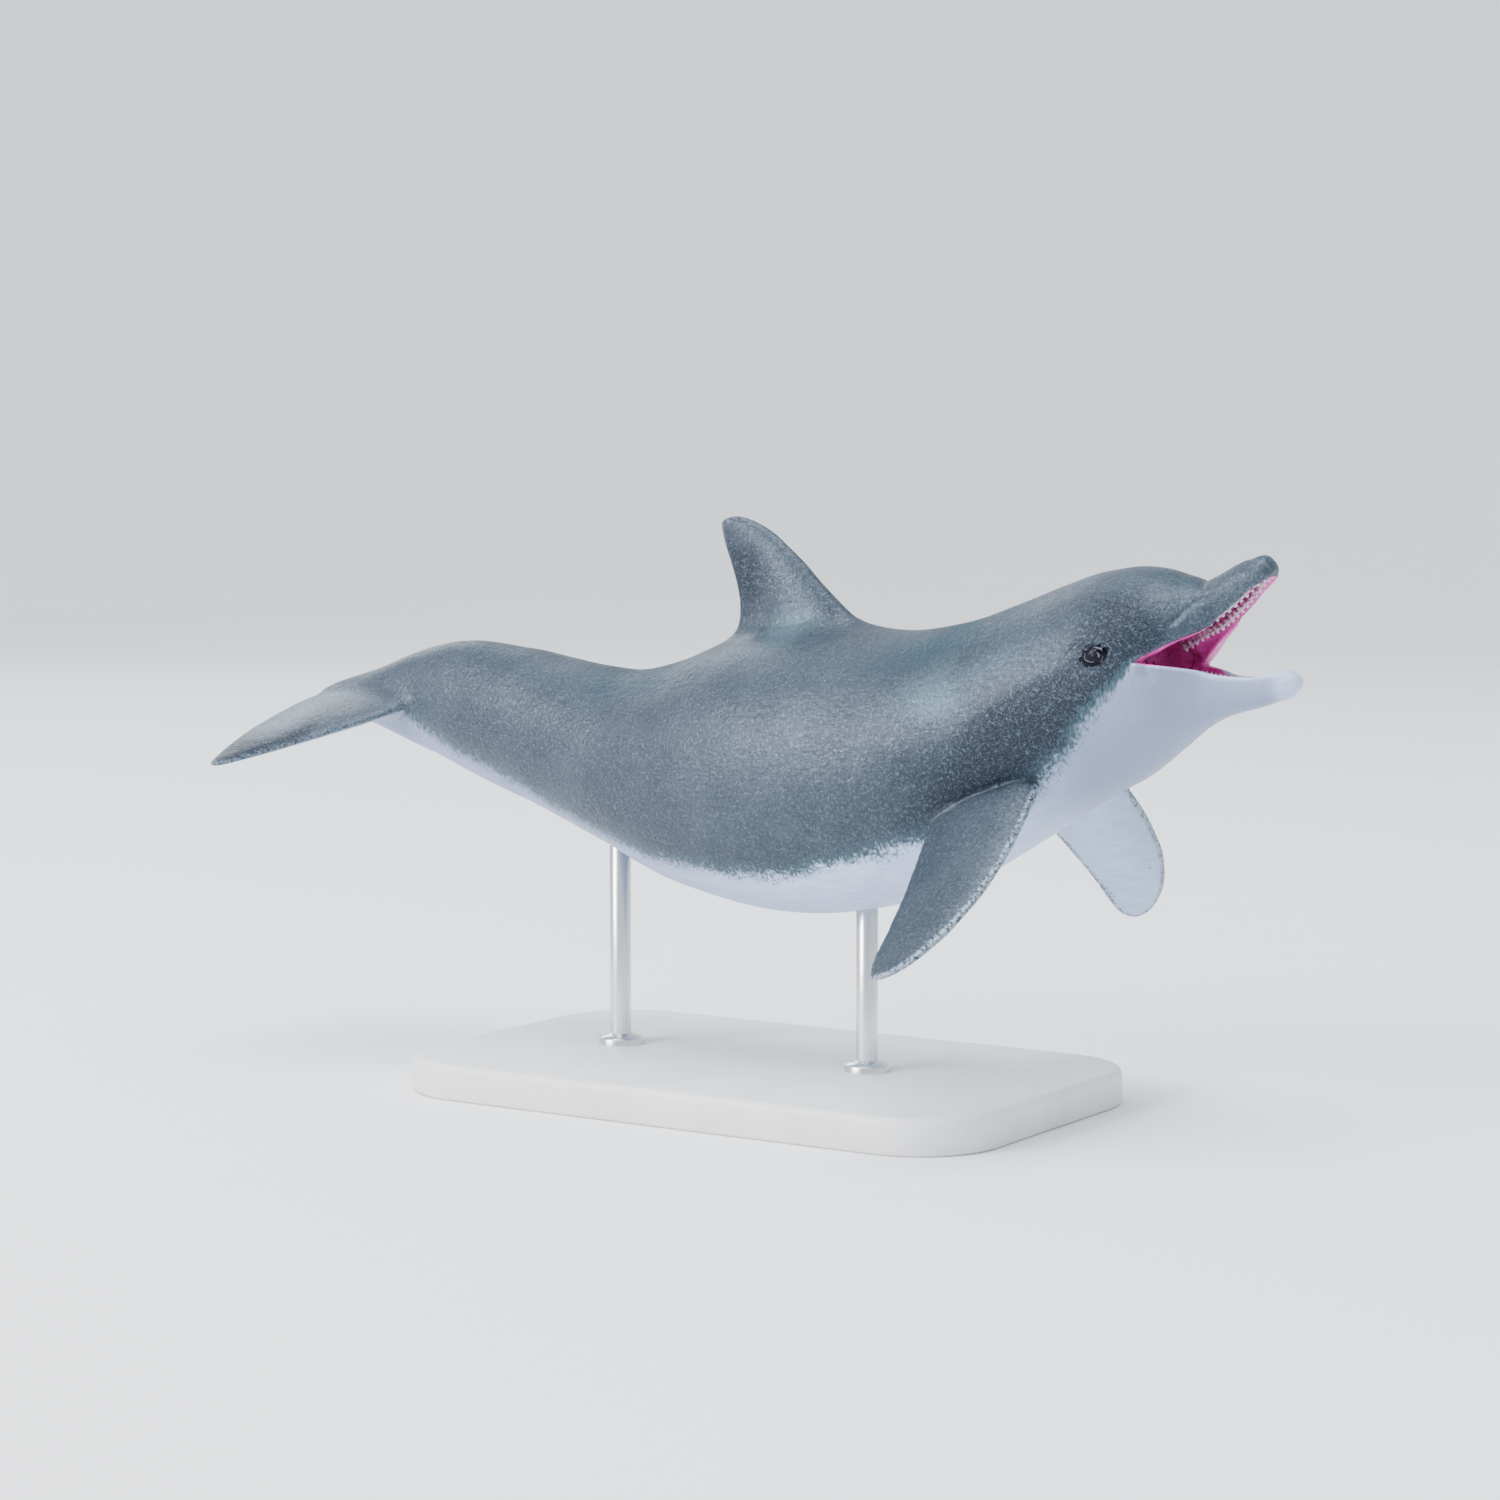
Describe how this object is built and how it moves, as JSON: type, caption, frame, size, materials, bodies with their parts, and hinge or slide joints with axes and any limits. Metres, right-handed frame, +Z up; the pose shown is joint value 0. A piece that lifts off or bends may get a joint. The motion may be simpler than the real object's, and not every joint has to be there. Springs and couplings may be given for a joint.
{
  "type": "bottlenose dolphin toy figure on a display stand",
  "caption": "Moulded plastic dolphin figure, leaping with its mouth open, held over a flat rounded base on short upright rods.",
  "frame": {"origin": "middle of the underside of the stand's base, under the middle of the whole length and width", "axes": "+X towards the dolphin's head, +Y towards its left side, +Z up; the base's underside is z = 0"},
  "size_m": [0.1602, 0.0708, 0.0802],
  "materials": {
    "body_paint": "slate grey paint with a fine metallic grain on the back and sides, fading by spray into an off-white belly",
    "jaw_paint": "satin off-white paint",
    "mouth_paint": "satin magenta paint, brushed by hand",
    "eye_paint": "gloss black paint",
    "stand_paint": "plain satin off-white plastic",
    "rod_steel": "satin drawn steel"
  },
  "bodies": {
    "root": {"head": "body_paint", "upper_jaw": "body_paint", "lower_jaw": "jaw_paint", "tongue": "mouth_paint", "eye_left": "eye_paint", "eye_right": "eye_paint", "chest": "body_paint", "trunk_middle": "body_paint", "trunk_rear": "body_paint", "tail_stock": "body_paint", "dorsal_fin": "body_paint", "flipper_left": "body_paint", "flipper_right": "body_paint", "fluke_left": "body_paint", "fluke_right": "body_paint", "stand_base": "stand_paint", "stand_rod_front": "rod_steel", "stand_rod_rear": "rod_steel"}
  },
  "joints": []
}
